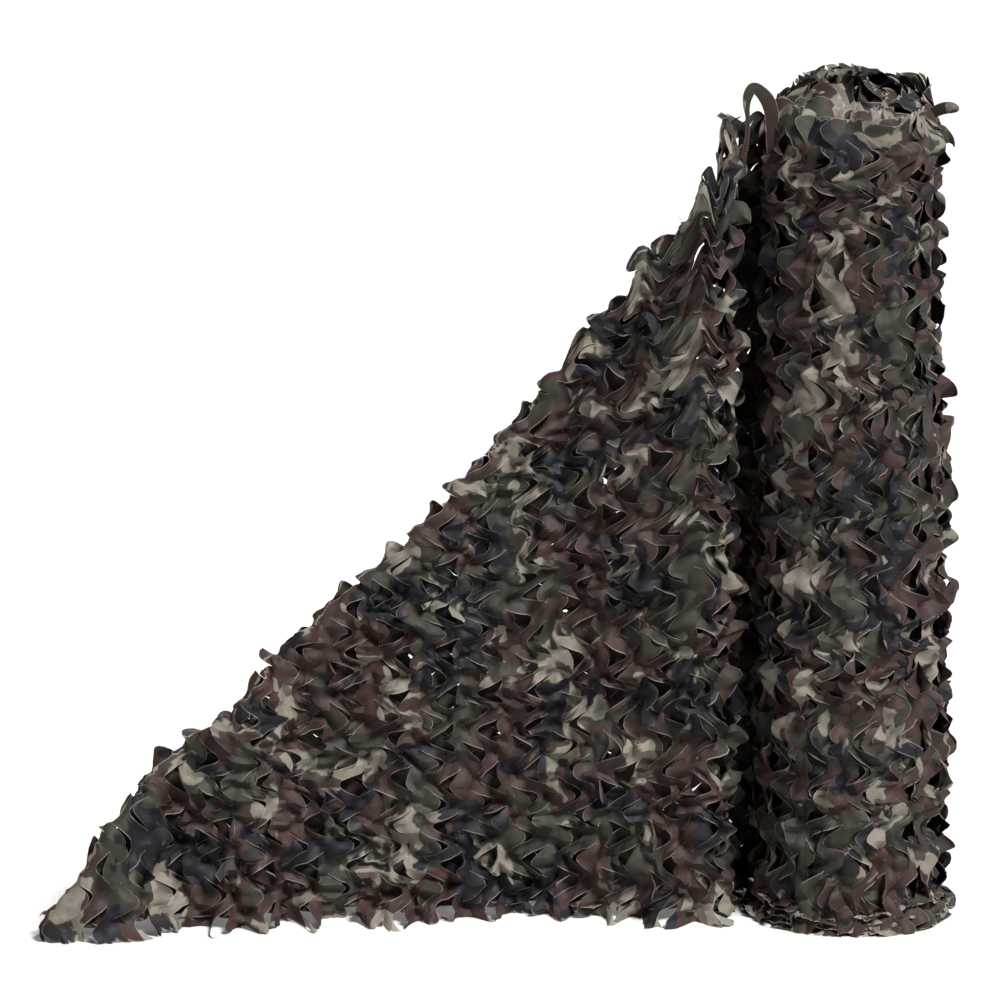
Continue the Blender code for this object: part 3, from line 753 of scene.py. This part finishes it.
def placeRuffle(u, v, z, ring, length):
    # A short skirt: from its foot on the floor the cloth leans in towards the roll at the tilt, z along its
    # front, and each ring's height waves by 0.75 + 0.25 sin(3 angle + ring) steps.
    cx, cy = roll["centre"]
    angle = 2 * math.pi * (u + ruffle["turnStep"] * ring) / length
    tilt = ruffle["tilt"] + ruffle["tiltSpread"] * uneven(u, 0 * u + ring, leanWaves)
    start = roll["radius"] + ruffle["reach"] - ruffle["inStep"] * ring
    start = start + ruffle["inStep"] * uneven(u, 0 * u + 2 * ring, rippleWaves)
    start = start - ruffle["backIn"] * smoothStep(np.sin(angle))
    z = ruffle["leafReach"] * np.tanh(z / ruffle["leafReach"])
    rise = v * np.sin(tilt) + z * np.cos(tilt)
    distance = start + (ruffle["pivot"] * ruffle["height"] - v) * np.cos(tilt) + z * np.sin(tilt)
    back, more = ruffle["farthest"]
    distance = np.minimum(distance, back + more * (1.0 - np.sin(angle)))
    height = rise + ruffle["step"] * ring * (0.75 + 0.25 * np.sin(3 * angle + ring))
    height = np.maximum(height, ruffle["clear"])
    return np.stack([cx + distance * np.cos(angle), cy + distance * np.sin(angle), height], axis=-1)


for ring in range(ruffle["rings"]):
    length = ruffle["repeats"] * strip["columnPitch"]
    start = -(ruffle["firstColumn"] + ruffle["columnStep"] * ring) * strip["columnPitch"]
    part = layStrip(start, start + length, 0.0, ruffle["height"])
    u, v, z = raiseLeaves(part, ruffle["strength"])
    piece = clothPiece("footTurn%d" % (ring + 1), part, placeRuffle(u, v, z, ring, length), turned=True)

print("laying the loose end")
part = layStrip(0.0, tipLength, 0.0, strip["width"])
least, start, over = looseEnd["rollStrength"]
strength = least + (1.0 - least) * smoothStep((part["u"] - start) / over)
less, start, over = looseEnd["tipStrength"]
strength = strength * (1.0 - less * smoothStep((part["u"] - tipLength + start) / over))
past = pastFold(part["u"], part["v"])
start, over = looseEnd["foldCalmWidth"]
strength = strength * (1.0 - looseEnd["foldCalm"] * smoothStep((start - abs(past - foldTurn / 2)) / over))
u, v, z = raiseLeaves(part, strength)
folded = part["u"] + np.where(past > 0, np.minimum(foldTurn - past, 0) - past, 0) * overFold[0]
facePast = past[part["faces"]].mean(axis=1)
foldedFace = folded[part["faces"]].mean(axis=1)
keep = (facePast < looseEnd["foldKept"]) | (foldedFace > crease + looseEnd["cornerTrim"])
points = placeOnLooseEnd(u, v, z)
front = facePast < foldTurn / 2
panel = clothPiece("panel", part, points, keep & front)
corner = clothPiece("foldedCorner", part, points, keep & ~front)

shiftU = 0.5 * strip["columnPitch"]
shiftV = 0.25 * strip["rowPitch"]
under = layStrip(0.0, tipLength, 0.0, strip["width"], shiftU, shiftV)
u, v, z = raiseLeaves(under, looseEnd["layerStrength"])
first, more, start, over = looseEnd["layerBack"]
setBack = first + more * smoothStep((under["u"] - start) / over)
points = placeOnLooseEnd(u + shiftU, v + shiftV, z - setBack)
past = pastFold(under["u"] + shiftU, under["v"] + shiftV)
behind = clothPiece("panelBehind", under, points, past[under["faces"]].mean(axis=1) < foldTurn / 2)
for piece in (panel, corner, behind):
    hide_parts("loose_end")

print("setting the loop and the loose leaf")
loop = {
    "line": (                    # x, y, z and width along the strip
        (0.4300, -0.026, 1.360, 0.010), (0.4390, -0.030, 1.415, 0.008), (0.4390, -0.034, 1.450, 0.008),
        (0.4370, -0.036, 1.472, 0.013), (0.4400, -0.037, 1.490, 0.018), (0.4480, -0.036, 1.502, 0.019),
        (0.4600, -0.034, 1.496, 0.022), (0.4740, -0.031, 1.478, 0.026), (0.4810, -0.027, 1.455, 0.025),
        (0.4825, -0.022, 1.425, 0.022), (0.4850, -0.018, 1.395, 0.024), (0.4900, -0.010, 1.360, 0.020),
        (0.4950, 0.000, 1.325, 0.016),
    ),
    "steps": 6,
    "printAt": (0.310, 0.540),
}
tongue = {                       # a leaf that stands out from the roll's shoulder
    "line": (
        (0.748, 0.020, 1.432, 0.016), (0.766, 0.012, 1.450, 0.020), (0.783, 0.004, 1.459, 0.022),
        (0.796, -0.002, 1.461, 0.020), (0.804, -0.004, 1.459, 0.014), (0.808, -0.005, 1.457, 0.005),
    ),
    "steps": 5,
    "printAt": (0.120, 0.930),
}


def bandAlong(values):
    # A strip on a curve through the points, its width square to the curve and seen from the front; its
    # section is the parabola -w^2 / 4 widths.
    run = curveThrough(values["line"], values["steps"])
    width = run[:, None, 3:]
    along = np.gradient(run[:, :3], axis=0)
    length = np.concatenate([[0.0], np.cumsum(np.linalg.norm(np.diff(run[:, :3], axis=0), axis=1))])
    along /= np.linalg.norm(along, axis=1)[:, None]
    side = np.cross(along, (0.0, -1.0, 0.0))
    side /= np.linalg.norm(side, axis=1)[:, None]
    up = np.cross(side, along)
    w = np.linspace(-0.5, 0.5, 5)[None, :, None]
    grid = run[:, None, :3] + side[:, None] * width * w - 0.25 * up[:, None] * width * w**2
    u = values["printAt"][0] + length[:, None] + 0 * w[:, :, 0]
    v = values["printAt"][1] + (width * w)[:, :, 0]
    part = {"u": u.ravel(), "v": v.ravel(), "faces": gridFaces(len(run), 5)}
    return part, grid.reshape(-1, 3)


for name, values, flatSize, place in (("looseLoop", loop, (0.020, 0.335), "loose_end_cloth"),
                                      ("rollTongue", tongue, (0.018, 0.075), "roll_cloth")):
    part, points = bandAlong(values)
    piece = clothPiece(name, part, points)

print("closing the roll's middle")
innerForm = {
    "radius": 0.135,
    "top": 1.445,
    "foot": 0.001,
    "ridge": 0.005,
    "ridgeGap": 0.012,
    "rings": 28,
    "sides": 96,
}


def woundInside():
    # A closed turned shape: floor disc, upright wall and a top with a spiral ridge, z = top - ridge
    # (1 - cos(2 pi radius / gap + angle)) / 2, domed and tilted as the turns round it are.
    cx, cy = roll["centre"]
    angle = np.linspace(0.0, 2 * math.pi, innerForm["sides"], endpoint=False)[None]
    share = np.linspace(1.0, 0.0, innerForm["rings"])[:, None]
    radius = innerForm["radius"] * share
    ridge = 0.5 - 0.5 * np.cos(2 * math.pi * radius / innerForm["ridgeGap"] + angle)
    high = innerForm["top"] - innerForm["ridge"] * ridge + roll["dome"] * (1.0 - share**2)
    high = high - roll["topDrop"] * (0.5 - 0.5 * np.sin(angle) * radius / roll["radius"])
    top = np.stack([radius * np.cos(angle), radius * np.sin(angle), high], axis=-1)
    low = np.stack([top[::-1, :, 0], top[::-1, :, 1], innerForm["foot"] + 0 * ridge], axis=-1)
    grid = np.concatenate([low, top], axis=0)
    return grid + np.array([cx, cy, 0.0])


grid = woundInside()
rows, columns = grid.shape[:2]
numbers = np.arange(rows * columns).reshape(rows, columns)
numbers = np.concatenate([numbers, numbers[:, :1]], axis=1)
quads = np.stack([numbers[:-1, :-1], numbers[:-1, 1:], numbers[1:, 1:], numbers[1:, :-1]], axis=-1)
mesh = bpy.data.meshes.new("innerTurns")
mesh.from_pydata(grid.reshape(-1, 3).tolist(), [], quads.reshape(-1, 4).tolist())
uv = mesh.uv_layers.new(name="cloth")
corners = np.empty(len(mesh.loops), dtype=np.int32)
mesh.loops.foreach_get("vertex_index", corners)
uv.uv.foreach_set("vector", grid.reshape(-1, 3)[corners][:, [0, 2]].astype(np.float32).ravel())
mesh.materials.append(netCloth)
innerTurns = bpy.data.objects.new("innerTurns", mesh)
bpy.context.scene.collection.objects.link(innerTurns)
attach(innerTurns, "root")

# ---- floor, light and camera

print("setting the floor, light and camera")
studio = {
    "floorColour": "#D3D2CF",
    "floorHalf": 30.0,
    "skyStrength": 0.06,
    "lightDistance": 4.0,
    "sensor": 36.0,
    "frame": 1000,               # pixels
    "scale": 0.001771,           # metres to a pixel of the 1000 pixel frame
    "elevation": math.radians(13.5),
    "distance": 12.0,
    "target": (0.0087, 0.0263, 0.7515),
}

floorMaterial = bpy.data.materials.new("paleFloor")
floorMaterial.use_nodes = True
floorShader = floorMaterial.node_tree.nodes["Principled BSDF"]
floorShader.inputs["Base Color"].default_value = linear(studio["floorColour"])
floorShader.inputs["Roughness"].default_value = 0.9
floorMesh = bpy.data.meshes.new("floor")
far = studio["floorHalf"]
floorMesh.from_pydata([(-far, -far, 0), (far, -far, 0), (far, far, 0), (-far, far, 0)], [], [(0, 1, 2, 3)])
floorMesh.materials.append(floorMaterial)
floor = bpy.data.objects.new("floor", floorMesh)
bpy.context.scene.collection.objects.link(floor)

world = bpy.data.worlds.new("studio")
world.use_nodes = True
world.node_tree.nodes["Background"].inputs[0].default_value = (1.0, 1.0, 1.0, 1.0)
world.node_tree.nodes["Background"].inputs[1].default_value = studio["skyStrength"]
bpy.context.scene.world = world

lights = {                       # far soft boxes, so that the floor is lit evenly: from, degrees, strength
    "key": {"from": (0.42, -0.50, 0.80), "spread": 20.0, "strength": 6.3},
    "fill": {"from": (-0.9, -0.9, 0.8), "spread": 40.0, "strength": 0.25},
    "back": {"from": (0.25, 1.0, 0.40), "spread": 60.0, "strength": 1.6},
}
target = Vector(studio["target"])
for name, values in lights.items():
    data = bpy.data.lights.new(name, "SUN")
    data.angle = math.radians(values["spread"])
    data.energy = values["strength"]
    lamp = bpy.data.objects.new(name, data)
    lamp.location = target + studio["lightDistance"] * Vector(values["from"])
    lamp.rotation_euler = (-Vector(values["from"])).to_track_quat("-Z", "Y").to_euler()
    bpy.context.scene.collection.objects.link(lamp)

cameraData = bpy.data.cameras.new("camera")
cameraData.sensor_width = studio["sensor"]
cameraData.lens = studio["sensor"] * studio["distance"] / (studio["scale"] * studio["frame"])
cameraData.clip_end = 100.0
camera = bpy.data.objects.new("camera", cameraData)
back = Vector((0.0, -math.cos(studio["elevation"]), math.sin(studio["elevation"])))
camera.location = target + studio["distance"] * back
camera.rotation_euler = (-back).to_track_quat("-Z", "Y").to_euler()
bpy.context.scene.collection.objects.link(camera)
bpy.context.scene.camera = camera
bpy.context.scene.view_settings.view_transform = "Standard"

print("done")
